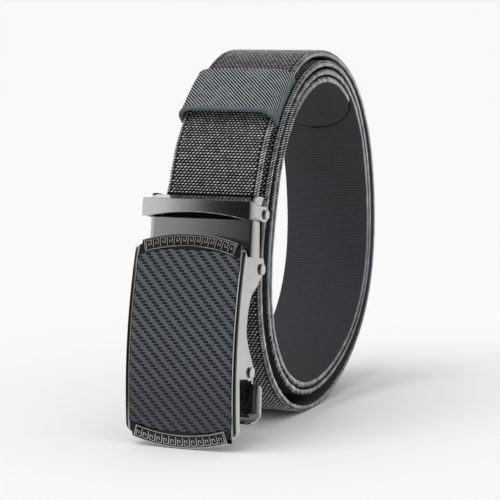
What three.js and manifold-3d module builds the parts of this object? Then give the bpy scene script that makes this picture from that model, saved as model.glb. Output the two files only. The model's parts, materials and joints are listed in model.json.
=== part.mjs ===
import * as THREE from "three";
import { mergeVertices } from "three/addons/utils/BufferGeometryUtils.js";
import Module from "manifold-3d";

const wasm = await Module();
wasm.setup();

// A ratchet belt, loosely rolled up and standing on its coil and on the foot of its buckle.
// Millimetres, +Z up. The strap runs across X, the buckle faces -Y, and the origin is the
// middle of the whole belt's base.

// General fits
const GAP = 0.3; // between pieces that touch on the real belt
const SHEET = 1.2; // folded steel of the clamp's frame and lever and of the release lever
const ARC_SEGMENTS = 6; // facets of a round corner
const ROD_SEGMENTS = 20; // facets round a pin, a rivet or a bore
const PAST = 1; // by which a cutting solid passes the faces that it cuts

// Strap: one flat length of woven webbing
const STRAP_WIDTH = 35;
const STRAP_THICKNESS = 2.2;
const STRAP_STEP = 4; // length of one facet
const TIP_LENGTH = 15; // rounded free end
const TIP_STEPS = 8;
const TIP_ANGLE = 84; // degrees of the quarter round drawn at the tip

// Coil: the outer face of the outermost turn, and how the turns lie inside it
const COIL_RADIUS = 63.5; // mean radius
const COIL_TURNS = 3.335; // from the clamp's mouth to the tip
const COIL_START = 160.5; // degrees round from +Y to the clamp's mouth
const COIL_POINTS = 24; // of the strap's line in a turn
const LINE_DIVISIONS = 3000; // in which the line's length is measured
const MOUTH_DIVISIONS = 2000; // in which the clamp's mouth is looked for along it
const TURN_PITCH = 2.85; // from each turn to the next
const STAND_OFF = 9.6; // of the outer turn from the coil, at the clamp's mouth
// Bulges of the coil: how many in a turn, height as a share of the radius, angle of a crest
const COIL_BULGES = [
  [1, 0.03, -79],
  [2, 0.0755, 70],
  [3, 0.0254, -23],
  [4, 0.0154, -39],
];
// Slack of the outer turn: turns from the mouth, and a share of the stand-off there
const SLACK = [
  [0, 1],
  [0.12, 0.5],
  [0.25, 0.03],
  [0.4, 0.22],
  [0.58, 0.2],
  [0.72, 0.33],
  [0.92, 0.46],
  [1.1, 0.06],
  [1.35, 0],
];

// Keeper loop round the outer turn, a sewn band that stands off the strap in front
const KEEPER_THICKNESS = 1.2;
const KEEPER_SIDE_GAP = 0.4;
const KEEPER_BACK_GAP = 0.4;
const KEEPER_FRONT_GAP = 4.7; // at its lower end
const KEEPER_TOP_GAP = 1.8; // and at its upper end
const KEEPER_START = 27; // along the strap from the clamp's mouth
const KEEPER_LENGTH = 23;
const KEEPER_STEPS = 6;
const KEEPER_CORNER = 5.4; // width of its front corners, inside
const KEEPER_CORNER_STEPS = 5;

// Buckle: measured from its hinge, with -Y to the front of the buckle and +Z along it
const BUCKLE_LEAN = 10.3; // degrees that its top leans back
const CLAMP_REACH = 28; // from the hinge up to where the strap leaves the clamp
const CLAMP_LEAVE = 4.4; // and back
const STRAP_TAIL = 5; // height of the strap's cut end above the hinge
const STRAP_STRAIGHT = 9; // straight length that the clamp holds
const STRAP_SEAT = -0.6; // middle of the strap in the clamp, from the hinge

// Cover: a die-cast curved plate with side flanges and two pairs of ears
const COVER_WIDTH = 42;
const COVER_TOP = 7; // shoulders above the hinge
const COVER_LENGTH = 66.5; // from shoulder to shoulder
const COVER_CORNER = 3;
const COVER_CURVE = 157; // radius of the plate's front, along its length
const COVER_FRONT = 16.2; // foremost point of the plate, in front of the hinge
const COVER_PLATE = 2.2;
const COVER_WALL = 1.2; // side flanges
const EAR_TOP = 4;
const EAR_CHAMFER = 1;
const EAR_JOG = 1; // by which the upper ears stand out from the flanges, past the clamp
const EAR_JOG_HEIGHTS = [-9, -6]; // between which they step out
const EAR_JOG_DEPTHS = [-10.5, -8]; // and the same from front to back
const WING_TOP = 5.6; // of the flange at the plate, above the ears
const WING_DEPTH = 3.5;
const UPPER_EAR = 2.4; // radius of the hinge ears behind the pin
const UPPER_EAR_SWEEP = 4.8; // of the curve that runs from the waist into them
const WAIST_DEPTH = 8.3; // of the flange between the ears
const WAIST_HEIGHT = -20.5;
const WAIST_SWEEP = [6, 10]; // of the rear edge's curve, down and up from the waist
const FOOT_DEPTH = 4; // of the flange below the ears
const FOOT_END = -58;
const LOWER_EAR = 3; // radius round the release pin
const LOWER_EAR_ARC = [-110, 15]; // degrees round the pin, from backwards to up
const LOWER_EAR_FOOT = 2.25; // below the pin
const LOWER_EAR_SWEEP = 9; // of the curve that runs from the ear to the waist
const COVER_STEPS = 16; // facets along the plate

// Borders: raised meander bands across both ends of the plate
const BORDER_WIDTH = 36.4;
const BORDER_HEIGHT = 4.5;
const BORDER_REACH = 1.5; // of its ends past the shoulder
const BORDER_RISE = 2.8; // of the arc between its ends
const BORDER_RAISE = 0.4; // above the plate
const BORDER_RIM = 0.4;
const BORDER_SINK = 0.5; // of its ground below the rim
const BORDER_SEGMENTS = 12; // facets of its arcs
const KEY_COUNT = 13;
const KEY_LINE = 0.36;
const KEY_MIDDLE = 0.36; // of a key, as a share of the pitch
// One key, drawn from its foot as strokes [x0, x1, z0, z1] in shares of its pitch and height
const KEY_STROKES = [
  [0, 0, 0, 1],
  [0, 0.72, 1, 1],
  [0.72, 0.72, 0.36, 1],
  [0.36, 0.72, 0.36, 0.36],
  [0.36, 0.36, 0.36, 0.68],
];

// Inlay: a thin woven-fibre panel let into the plate
const INLAY_RIM = 1.4; // of the plate beside it
const INLAY_THICKNESS = 0.8;
const INLAY_SINK = 0.1; // below the plate's front

// Clamp frame: a flat tube of folded steel, open at both ends
const FRAME_SIDE_GAP = 0.4; // to the cover's ears
const FRAME_DEPTH = 8.3;
const FRAME_TOP = 25.5;
const FRAME_BOTTOM = -3.8;
const FRAME_CORNER = 1.6;
const FRONT_WALL = [3.5, 17]; // lower and upper edge of the front wall
const BACK_WALL = [-1, 20.5];

// Clamp lever: a bar across the front with an arm at each side, turning on two rivets
const LEVER_FRONT = 9.2; // front of the bar, before the hinge
const LEVER_HEIGHT = 6.5;
const LEVER_BOTTOM = 17;
const LEVER_ARCH = 1.9; // of the bar's lower edge
const LEVER_ARCH_INSET = 3.5;
const LEVER_ARCH_SEGMENTS = 120; // facets of the arch's whole circle
const LEVER_BEND = 2; // radius where the bar turns into the arms
const LEVER_LIP = 5.8; // depth of the bar's top lip
const LEVER_LIP_RISE = 1.5;
const LEVER_LIP_INSET = 2.5; // of its ends from the arms
const LEVER_PIVOT = [1.5, 19.3]; // behind and above the hinge
const LEVER_LOBE = 2.8;
const LEVER_SLOPE = 1.4; // by which the arm's top falls to the pivot
const LEVER_WEB = [20.4, 21.6]; // lower and upper face of the gripping web
const TOOTH_PITCH = 2.4;
const TOOTH_DEPTH = 0.8;

// Pins and rivets
const PIN_RADIUS = 1.4;
const PIN_HEAD = 2;
const HEAD_HEIGHT = 0.6;
const RIVET_RADIUS = 1.1;
const RIVET_HEAD = 1.75;
const RIVET_STRAP_GAP = 0.4;
const RELEASE_PIN = [-2.5, -36.3]; // before and below the hinge

// Release lever: a barrel on the lower pin with a thumb plate behind the cover
const BARREL_WALL = 1.1;
const THUMB_BACK = 2.7; // face of the plate, behind the hinge
const THUMB_LENGTH = 18.5; // below the pin
const THUMB_SIDE = 1.6; // by which the tab stands out past the cover, on the +X side
const THUMB_CORNER = 3.5;
const THUMB_LIP = 4; // radius of the curled foot
const THUMB_EAR_GAP = 1.2;

// Stance
const MOST_LEAN = 40; // degrees tried for the whole belt, to either side
const LEAN_TRIES = 30;

// Colours
const WEBBING = new THREE.MeshStandardMaterial({ color: 0x2a2a2d, roughness: 0.9, metalness: 0 });
const LOOP_WEBBING = new THREE.MeshStandardMaterial({ color: 0x5c646a, roughness: 0.9, metalness: 0 });
const GUNMETAL = new THREE.MeshStandardMaterial({ color: 0x6f6f70, roughness: 0.3, metalness: 1 });
const STEEL = new THREE.MeshStandardMaterial({ color: 0xa9a9a8, roughness: 0.35, metalness: 1 });
const INLAY = new THREE.MeshStandardMaterial({ color: 0x4b5054, roughness: 0.45, metalness: 0.2 });

const radians = THREE.MathUtils.degToRad;

// Solids and meshes

function toSolid(geometry) {
  const plain = geometry.clone();
  plain.deleteAttribute("normal");
  plain.deleteAttribute("uv");
  const merged = mergeVertices(plain, 1e-5);
  return new wasm.Manifold(
    new wasm.Mesh({
      numProp: 3,
      vertProperties: new Float32Array(merged.attributes.position.array),
      triVerts: new Uint32Array(merged.index.array),
    }),
  );
}

function toMesh(name, solid, material) {
  const mesh = solid.getMesh();
  const geometry = new THREE.BufferGeometry();
  geometry.setAttribute("position", new THREE.BufferAttribute(new Float32Array(mesh.vertProperties), 3));
  geometry.setIndex(new THREE.BufferAttribute(new Uint32Array(mesh.triVerts), 1));
  const piece = new THREE.Mesh(geometry, material);
  piece.name = name;
  return piece;
}

function box(x0, x1, y0, y1, z0, z1) {
  const geometry = new THREE.BoxGeometry(x1 - x0, y1 - y0, z1 - z0);
  geometry.translate((x0 + x1) / 2, (y0 + y1) / 2, (z0 + z1) / 2);
  return toSolid(geometry);
}

function rod(radius, x0, x1, y, z) {
  const geometry = new THREE.CylinderGeometry(radius, radius, x1 - x0, ROD_SEGMENTS);
  geometry.rotateZ(Math.PI / 2);
  geometry.translate((x0 + x1) / 2, y, z);
  return toSolid(geometry);
}

// A side outline, drawn as (y, z), carried across X
function across(shape, x0, x1, curveSegments = ARC_SEGMENTS) {
  const geometry = new THREE.ExtrudeGeometry(shape, { depth: x1 - x0, bevelEnabled: false, curveSegments });
  const axes = [new THREE.Vector3(0, 1, 0), new THREE.Vector3(0, 0, 1), new THREE.Vector3(1, 0, 0)];
  geometry.applyMatrix4(new THREE.Matrix4().makeBasis(...axes));
  geometry.translate(x0, 0, 0);
  return toSolid(geometry);
}

// A front outline, drawn as (x, z), carried through Y
function through(shape, y0, y1, curveSegments = ARC_SEGMENTS) {
  const geometry = new THREE.ExtrudeGeometry(shape, { depth: y1 - y0, bevelEnabled: false, curveSegments });
  geometry.rotateX(Math.PI / 2);
  geometry.translate(0, y1, 0);
  return toSolid(geometry);
}

// A plan outline, drawn as (x, y), carried up Z
function upward(shape, z0, z1, curveSegments = ARC_SEGMENTS) {
  const geometry = new THREE.ExtrudeGeometry(shape, { depth: z1 - z0, bevelEnabled: false, curveSegments });
  geometry.translate(0, 0, z0);
  return toSolid(geometry);
}

function roundedRectangle(x0, x1, y0, y1, radius) {
  const shape = new THREE.Shape();
  shape.moveTo(x0 + radius, y0);
  shape.absarc(x1 - radius, y0 + radius, radius, -Math.PI / 2, 0);
  shape.absarc(x1 - radius, y1 - radius, radius, 0, Math.PI / 2);
  shape.absarc(x0 + radius, y1 - radius, radius, Math.PI / 2, Math.PI);
  shape.absarc(x0 + radius, y0 + radius, radius, Math.PI, 1.5 * Math.PI);
  return shape;
}

// A closed solid through rings of the same number of points, capped at both ends or run into itself
function loft(rings, joined = false) {
  const count = rings[0].length;
  const points = rings.flat();
  const spans = joined ? rings.length : rings.length - 1;
  const index = [];
  for (let ring = 0; ring < spans; ring += 1) {
    const next = (ring + 1) % rings.length;
    for (let edge = 0; edge < count; edge += 1) {
      const beside = (edge + 1) % count;
      const [a, b] = [ring * count + edge, ring * count + beside];
      const [c, d] = [next * count + beside, next * count + edge];
      index.push(a, b, c, a, c, d);
    }
  }
  if (!joined) {
    const last = points.length - count;
    for (let corner = 1; corner < count - 1; corner += 1) {
      index.push(0, corner + 1, corner, last, last + corner, last + corner + 1);
    }
  }
  const geometry = new THREE.BufferGeometry().setFromPoints(points);
  geometry.setIndex(index);
  return toSolid(geometry);
}

// Coil

function bulge(angle) {
  const wave = ([count, share, crest]) => share * Math.cos(count * (angle - radians(crest)));
  return COIL_BULGES.reduce((sum, row) => sum + wave(row), 1);
}

function slack(turns) {
  const next = SLACK.findIndex(([at]) => at > turns);
  if (next < 0) {
    return 0;
  }
  const [from, low] = SLACK[next - 1];
  const [to, high] = SLACK[next];
  const share = (1 - Math.cos((Math.PI * (turns - from)) / (to - from))) / 2;
  return STAND_OFF * (low + (high - low) * share);
}

// Middle of the strap on the coil, from the coil's centre
function coilPoint(turns) {
  const angle = radians(COIL_START) - 2 * Math.PI * turns;
  const radius = COIL_RADIUS * bulge(angle) - TURN_PITCH * turns + slack(turns) - STRAP_THICKNESS / 2;
  return new THREE.Vector3(0, radius * Math.cos(angle), radius * Math.sin(angle));
}

// The buckle's own axes, placed so that its clamp's mouth is where the coil starts
const buckle = new THREE.Group();
buckle.rotation.x = -radians(BUCKLE_LEAN);
const mouth = new THREE.Vector3(0, CLAMP_LEAVE, CLAMP_REACH).applyEuler(buckle.rotation);
buckle.position.copy(coilPoint(0).sub(mouth));
buckle.updateMatrix();

function strapLine() {
  const held = [STRAP_TAIL, STRAP_TAIL + STRAP_STRAIGHT / 2, STRAP_TAIL + STRAP_STRAIGHT];
  const points = held.map((z) => new THREE.Vector3(0, STRAP_SEAT, z).applyMatrix4(buckle.matrix));
  const count = Math.ceil(COIL_TURNS * COIL_POINTS);
  for (let i = 0; i <= count; i += 1) {
    points.push(coilPoint((COIL_TURNS * i) / count));
  }
  const curve = new THREE.CatmullRomCurve3(points, false, "centripetal");
  curve.arcLengthDivisions = LINE_DIVISIONS;
  return curve;
}

const line = strapLine();
const strapLength = line.getLength();

// Point on the strap's line and direction out of the coil, at a length from the cut end
function station(length) {
  const at = Math.min(length / strapLength, 1);
  const along = line.getTangentAt(at);
  return { point: line.getPointAt(at), out: new THREE.Vector3(0, -along.z, along.y) };
}

function place({ point, out }, x, height) {
  return point.clone().addScaledVector(out, height).setX(x);
}

function strapSolid() {
  const lengths = [];
  const body = strapLength - TIP_LENGTH;
  const steps = Math.ceil(body / STRAP_STEP);
  for (let i = 0; i <= steps; i += 1) {
    lengths.push([(body * i) / steps, STRAP_WIDTH / 2]);
  }
  for (let i = 1; i <= TIP_STEPS; i += 1) {
    const turn = (radians(TIP_ANGLE) * i) / TIP_STEPS;
    lengths.push([body + TIP_LENGTH * Math.sin(turn), (STRAP_WIDTH / 2) * Math.cos(turn)]);
  }
  const half = STRAP_THICKNESS / 2;
  const rings = lengths.map(([length, wide]) => {
    const here = station(length);
    const corners = [[-wide, half], [wide, half], [wide, -half], [-wide, -half]];
    return corners.map(([x, height]) => place(here, x, height));
  });
  return loft(rings);
}

// Distance along the strap from its cut end to the clamp's mouth
function mouthLength() {
  const target = coilPoint(0);
  let best = 0;
  for (let i = 0; i <= MOUTH_DIVISIONS; i += 1) {
    const at = (STRAP_TAIL + 2 * CLAMP_REACH) * (i / MOUTH_DIVISIONS);
    if (station(at).point.distanceTo(target) < station(best).point.distanceTo(target)) {
      best = at;
    }
  }
  return best;
}

// Corners of the keeper's section, as (x, height above the strap's middle)
function keeperSection(grow, frontGap) {
  const x = STRAP_WIDTH / 2 + KEEPER_SIDE_GAP + grow;
  const face = STRAP_THICKNESS / 2;
  const low = -face - KEEPER_BACK_GAP - grow;
  const wide = KEEPER_CORNER + grow;
  const high = frontGap + grow;
  const back = GAP + grow;
  const shape = new THREE.Shape();
  shape.absarc(x - back, low + back, back, -Math.PI / 2, 0);
  shape.absellipse(x - wide, face, wide, high, 0, Math.PI / 2);
  shape.absellipse(-x + wide, face, wide, high, Math.PI / 2, Math.PI);
  shape.absarc(-x + back, low + back, back, Math.PI, 1.5 * Math.PI);
  return shape.getPoints(KEEPER_CORNER_STEPS);
}

function keeperSolid() {
  const from = mouthLength() + KEEPER_START;
  const outer = [];
  const inner = [];
  for (let i = 0; i <= KEEPER_STEPS; i += 1) {
    const share = i / KEEPER_STEPS;
    const here = station(from + KEEPER_LENGTH * share);
    const frontGap = KEEPER_FRONT_GAP + (KEEPER_TOP_GAP - KEEPER_FRONT_GAP) * share;
    outer.push(keeperSection(KEEPER_THICKNESS, frontGap).map((corner) => place(here, corner.x, corner.y)));
    inner.push(keeperSection(0, frontGap).map((corner) => place(here, corner.x, corner.y)));
  }
  const rings = outer[0].map((_, i) => [
    ...outer.map((ring) => ring[i]),
    ...inner.toReversed().map((ring) => ring[i]),
  ]);
  return loft(rings, true);
}

// Cover. Its own axes are the buckle's.

const coverMiddle = COVER_TOP - COVER_LENGTH / 2;
const halfCover = COVER_WIDTH / 2;
const sideInside = halfCover - COVER_WALL;
const earInside = sideInside + EAR_JOG;
const coverBeyond = COVER_FRONT + 2 * PAST;

// Y of the plate's front at a height, less a depth below it
function plateFront(z, depth = 0) {
  const radius = COVER_CURVE - depth;
  return COVER_CURVE - COVER_FRONT - Math.sqrt(radius ** 2 - (z - coverMiddle) ** 2);
}

// A shell of the plate's curve between two depths below its front
function plateLayer(top, bottom, halfWidth) {
  const reach = COVER_LENGTH / 2 + BORDER_REACH + BORDER_RISE + GAP;
  const heights = [];
  for (let i = 0; i <= COVER_STEPS; i += 1) {
    heights.push(coverMiddle - reach + (2 * reach * i) / COVER_STEPS);
  }
  const front = heights.map((z) => new THREE.Vector2(plateFront(z, top), z));
  const back = heights.map((z) => new THREE.Vector2(plateFront(z, bottom), z));
  return across(new THREE.Shape([...front, ...back.toReversed()]), -halfWidth, halfWidth);
}

// The border's outer arc, moved in towards the plate's middle by an inset
const borderRadius = ((BORDER_WIDTH / 2) ** 2 + BORDER_RISE ** 2) / (2 * BORDER_RISE);
const borderCentre = COVER_LENGTH / 2 + BORDER_REACH + BORDER_RISE - borderRadius;

// Band across one end of the plate, between two distances in from its outer arc; end is 1 or -1
function borderBand(end, from, to, halfWidth) {
  const outer = borderRadius - from;
  const inner = borderRadius - to;
  const a = Math.asin(halfWidth / borderRadius);
  const shape = new THREE.Shape();
  shape.absarc(0, borderCentre, outer, Math.PI / 2 - a, Math.PI / 2 + a);
  shape.absarc(0, borderCentre, inner, Math.PI / 2 + a, Math.PI / 2 - a, true);
  const solid = through(shape, -coverBeyond, 0, BORDER_SEGMENTS);
  const turned = end > 0 ? solid : solid.scale([1, 1, -1]);
  return turned.translate([0, 0, coverMiddle]);
}

function bothBorders(from, to, halfWidth) {
  return borderBand(1, from, to, halfWidth).add(borderBand(-1, from, to, halfWidth));
}

function frontOutline(halfWidth, halfLength, corner) {
  const z = coverMiddle;
  return roundedRectangle(-halfWidth, halfWidth, z - halfLength, z + halfLength, corner);
}

// Outline between the borders, carried through the cover, that the panel fills but for a gap
function panelOutline(gap) {
  const inset = INLAY_RIM + gap;
  const corner = COVER_CORNER - INLAY_RIM / 2 - gap;
  const outline = frontOutline(halfCover - inset, COVER_LENGTH / 2 - inset, corner);
  const ends = bothBorders(-2 * BORDER_HEIGHT, BORDER_HEIGHT + gap, halfCover);
  return through(outline, -coverBeyond, coverBeyond).subtract(ends);
}

// The running keys between the rims of one border
function borderKeys(end) {
  const height = BORDER_HEIGHT - 2 * BORDER_RIM - 2 * GAP;
  const middle = borderRadius - BORDER_HEIGHT / 2;
  const spread = 2 * Math.asin((BORDER_WIDTH / 2 - BORDER_RIM) / borderRadius);
  const pitch = (middle * spread) / KEY_COUNT;
  const keys = [];
  for (let key = 0; key < KEY_COUNT; key += 1) {
    const angle = spread * ((key + 0.5) / KEY_COUNT - 0.5);
    for (const [x0, x1, z0, z1] of KEY_STROKES) {
      const half = KEY_LINE / 2;
      const left = (x0 - KEY_MIDDLE) * pitch - half;
      const right = (x1 - KEY_MIDDLE) * pitch + half;
      const low = (z0 - 0.5) * (height - KEY_LINE) - half;
      const high = (z1 - 0.5) * (height - KEY_LINE) + half;
      const stroke = box(left, right, -coverBeyond, 0, low, high);
      const onArc = stroke.translate([0, 0, middle]).rotate([0, THREE.MathUtils.radToDeg(angle), 0]);
      keys.push(onArc.translate([0, 0, borderCentre]));
    }
  }
  const joined = keys.reduce((sum, key) => sum.add(key));
  const turned = end > 0 ? joined : joined.rotate([0, 180, 0]);
  return turned.translate([0, 0, coverMiddle]);
}

// Side outline of the flanges with their ears
function flangeOutline() {
  const [pinY, pinZ] = RELEASE_PIN;
  const waist = plateFront(WAIST_HEIGHT) + WAIST_DEPTH;
  const earFoot = pinZ - LOWER_EAR_FOOT;
  const [arcStart, arcEnd] = LOWER_EAR_ARC.map(radians);
  const [below, above] = WAIST_SWEEP;
  const tip = plateFront(WING_TOP, COVER_PLATE / 2);
  const shape = new THREE.Shape();
  shape.moveTo(tip, WING_TOP);
  for (let i = 0; i <= COVER_STEPS; i += 1) {
    const z = WING_TOP + ((FOOT_END - WING_TOP) * i) / COVER_STEPS;
    shape.lineTo(plateFront(z, BORDER_RAISE), z);
  }
  shape.lineTo(plateFront(FOOT_END) + FOOT_DEPTH, FOOT_END);
  shape.lineTo(plateFront(earFoot) + FOOT_DEPTH, earFoot);
  shape.lineTo(pinY - LOWER_EAR, earFoot);
  shape.absarc(pinY, pinZ, LOWER_EAR, arcStart, arcEnd);
  shape.bezierCurveTo(pinY, WAIST_HEIGHT - LOWER_EAR_SWEEP, waist, WAIST_HEIGHT - below, waist, WAIST_HEIGHT);
  shape.bezierCurveTo(waist, WAIST_HEIGHT + above, -UPPER_EAR, -UPPER_EAR_SWEEP, UPPER_EAR, -UPPER_EAR / 2);
  shape.lineTo(UPPER_EAR, EAR_TOP - EAR_CHAMFER);
  shape.lineTo(UPPER_EAR - EAR_CHAMFER, EAR_TOP);
  shape.lineTo(plateFront(EAR_TOP) + WING_DEPTH, EAR_TOP);
  shape.quadraticCurveTo(plateFront(EAR_TOP) + COVER_PLATE, EAR_TOP, tip, WING_TOP);
  return shape;
}

// Room between the flanges' outer or inner faces, which step out to the ears upwards and backwards
function flangeSpread(half, reach) {
  const outline = ([low, high]) => {
    const right = [[half, -reach], [half, low], [half + EAR_JOG, high], [half + EAR_JOG, reach]];
    const left = right.map(([x, at]) => [-x, at]).toReversed();
    return new THREE.Shape([...right, ...left].map(([x, at]) => new THREE.Vector2(x, at)));
  };
  const rising = through(outline(EAR_JOG_HEIGHTS), -reach, reach);
  return rising.intersect(upward(outline(EAR_JOG_DEPTHS), -reach, reach));
}

function coverSolid() {
  const far = coverBeyond;
  const wide = halfCover + far;
  const outline = through(frontOutline(halfCover, COVER_LENGTH / 2, COVER_CORNER), -far, far);
  const ends = bothBorders(0, BORDER_HEIGHT, BORDER_WIDTH / 2);
  const plate = plateLayer(0, COVER_PLATE, halfCover).intersect(outline.add(ends));
  const rounded = outline.add(box(-wide, wide, -far, far, EAR_JOG_HEIGHTS[0], far));
  const sides = across(flangeOutline(), -halfCover - EAR_JOG, halfCover + EAR_JOG)
    .intersect(flangeSpread(halfCover, 2 * COVER_LENGTH))
    .intersect(rounded);
  const hollow = flangeSpread(sideInside, 2 * COVER_LENGTH);
  const [pinY, pinZ] = RELEASE_PIN;
  const bore = PIN_RADIUS + GAP;
  const bores = rod(bore, -wide, wide, 0, 0).add(rod(bore, -wide, wide, pinY, pinZ));
  const pocket = panelOutline(0).intersect(plateLayer(-PAST, INLAY_SINK + INLAY_THICKNESS + GAP, halfCover));
  const raised = plateLayer(-BORDER_RAISE, COVER_PLATE / 2, halfCover).intersect(ends);
  const ground = bothBorders(BORDER_RIM, BORDER_HEIGHT - BORDER_RIM, BORDER_WIDTH / 2 - BORDER_RIM)
    .subtract(borderKeys(1))
    .subtract(borderKeys(-1));
  const sunk = plateLayer(-PAST, BORDER_SINK - BORDER_RAISE, halfCover).intersect(ground);
  return plate.add(sides.subtract(hollow)).add(raised).subtract(sunk).subtract(pocket).subtract(bores);
}

function inlaySolid() {
  return panelOutline(GAP).intersect(plateLayer(INLAY_SINK, INLAY_SINK + INLAY_THICKNESS, halfCover));
}

// Clamp

const frameHalf = earInside - FRAME_SIDE_GAP;
const frameInside = frameHalf - SHEET;

function frameSolid() {
  const y = FRAME_DEPTH / 2;
  const outer = roundedRectangle(-frameHalf, frameHalf, -y, y, FRAME_CORNER);
  const inner = roundedRectangle(-frameInside, frameInside, -y + SHEET, y - SHEET, FRAME_CORNER - SHEET);
  const above = FRAME_TOP + PAST;
  const below = FRAME_BOTTOM - PAST;
  const tube = upward(outer, FRAME_BOTTOM, FRAME_TOP).subtract(upward(inner, below, above));
  const walls = roundedRectangle(-y, y, FRAME_BOTTOM, FRAME_TOP, y / 2);
  const cuts = [
    box(-frameInside, frameInside, -y - PAST, 0, FRONT_WALL[1], above),
    box(-frameInside, frameInside, -y - PAST, 0, below, FRONT_WALL[0]),
    box(-frameInside, frameInside, 0, y + PAST, BACK_WALL[1], above),
    box(-frameInside, frameInside, 0, y + PAST, below, BACK_WALL[0]),
    rod(PIN_RADIUS + GAP, -2 * frameHalf, 2 * frameHalf, 0, 0),
    rod(RIVET_RADIUS + GAP, -2 * frameHalf, 2 * frameHalf, ...LEVER_PIVOT),
  ];
  return cuts.reduce((left, cut) => left.subtract(cut), tube.intersect(across(walls, -frameHalf, frameHalf)));
}

// Side outline of the clamp lever's bar and arms
function leverOutline() {
  const top = LEVER_BOTTOM + LEVER_HEIGHT;
  const [pivotY, pivotZ] = LEVER_PIVOT;
  const side = new THREE.Shape();
  side.moveTo(-LEVER_FRONT - PAST, LEVER_BOTTOM);
  side.lineTo(-LEVER_FRONT + LEVER_BEND, LEVER_BOTTOM);
  side.lineTo(pivotY, pivotZ - LEVER_LOBE);
  side.absarc(pivotY, pivotZ, LEVER_LOBE, -Math.PI / 2, Math.PI / 2);
  side.lineTo(-LEVER_FRONT + LEVER_BEND, top - LEVER_SLOPE / 2);
  side.lineTo(-LEVER_FRONT + LEVER_BEND / 2, top);
  side.lineTo(-LEVER_FRONT - PAST, top);
  return side;
}

// The bar's top lip, which leans up and back from it
function leverLip(halfWidth) {
  const top = LEVER_BOTTOM + LEVER_HEIGHT;
  const side = new THREE.Shape();
  side.moveTo(-LEVER_FRONT + SHEET / 2, top - SHEET);
  side.lineTo(-LEVER_FRONT + LEVER_LIP, top - SHEET + LEVER_LIP_RISE);
  side.lineTo(-LEVER_FRONT + LEVER_LIP, top + LEVER_LIP_RISE);
  side.lineTo(-LEVER_FRONT + SHEET / 2, top);
  return across(side, -halfWidth, halfWidth);
}

// The web behind the bar, notched along the edge that grips the strap
function leverWeb(halfWidth) {
  const [low, high] = LEVER_WEB;
  const back = STRAP_SEAT - STRAP_THICKNESS / 2 - GAP;
  const halfTooth = TOOTH_PITCH / 2;
  const outline = [[-halfTooth, back + GAP], [0, back - TOOTH_DEPTH], [halfTooth, back + GAP]];
  const notch = new THREE.Shape(outline.map(([x, y]) => new THREE.Vector2(x, y)));
  const teeth = Math.floor((2 * halfWidth) / TOOTH_PITCH);
  let web = box(-halfWidth, halfWidth, -LEVER_FRONT + SHEET / 2, back, low, high);
  for (let i = 0; i < teeth; i += 1) {
    const x = (i - (teeth - 1) / 2) * TOOTH_PITCH;
    web = web.subtract(upward(notch, low - PAST, high + PAST).translate([x, 0, 0]));
  }
  return web;
}

function leverSolid() {
  const inside = frameHalf + GAP;
  const outside = inside + SHEET;
  const top = LEVER_BOTTOM + LEVER_HEIGHT + PAST;
  const bottom = LEVER_BOTTOM - PAST;
  const [pivotY, pivotZ] = LEVER_PIVOT;
  const back = pivotY + LEVER_LOBE + LEVER_BEND;
  const outer = roundedRectangle(-outside, outside, -LEVER_FRONT, back, LEVER_BEND);
  const behind = back + LEVER_BEND;
  const inner = roundedRectangle(-inside, inside, -LEVER_FRONT + SHEET, behind, LEVER_BEND - SHEET);
  const bow = upward(outer, bottom, top).subtract(upward(inner, bottom - PAST, top + PAST));
  const halfArch = outside - LEVER_ARCH_INSET;
  const archRadius = (halfArch ** 2 + LEVER_ARCH ** 2) / (2 * LEVER_ARCH);
  const arch = new THREE.Shape();
  arch.absarc(0, LEVER_BOTTOM + LEVER_ARCH - archRadius, archRadius, 0, 2 * Math.PI);
  const cut = through(arch, -LEVER_FRONT - PAST, -LEVER_FRONT + SHEET + GAP, LEVER_ARCH_SEGMENTS);
  return bow
    .intersect(across(leverOutline(), -outside, outside))
    .subtract(cut)
    .add(leverLip(inside - LEVER_LIP_INSET))
    .add(leverWeb(frameInside - GAP))
    .subtract(rod(RIVET_RADIUS + GAP, -2 * outside, 2 * outside, pivotY, pivotZ));
}

// half is the outer half width of the ears that the pin goes through
function pinSolid(half, y, z) {
  const head = half + GAP;
  const end = head + HEAD_HEIGHT;
  const heads = rod(PIN_HEAD, head, end, y, z).add(rod(PIN_HEAD, -end, -head, y, z));
  return rod(PIN_RADIUS, -end, end, y, z).add(heads);
}

// side is 1 or -1
function rivetSolid(side) {
  const inner = STRAP_WIDTH / 2 + RIVET_STRAP_GAP;
  const outer = frameHalf + SHEET + 2 * GAP;
  const shaft = rod(RIVET_RADIUS, inner, outer + HEAD_HEIGHT, ...LEVER_PIVOT);
  const rivet = shaft.add(rod(RIVET_HEAD, outer, outer + HEAD_HEIGHT, ...LEVER_PIVOT));
  return side > 0 ? rivet : rivet.scale([-1, 1, 1]);
}

// Release lever

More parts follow.
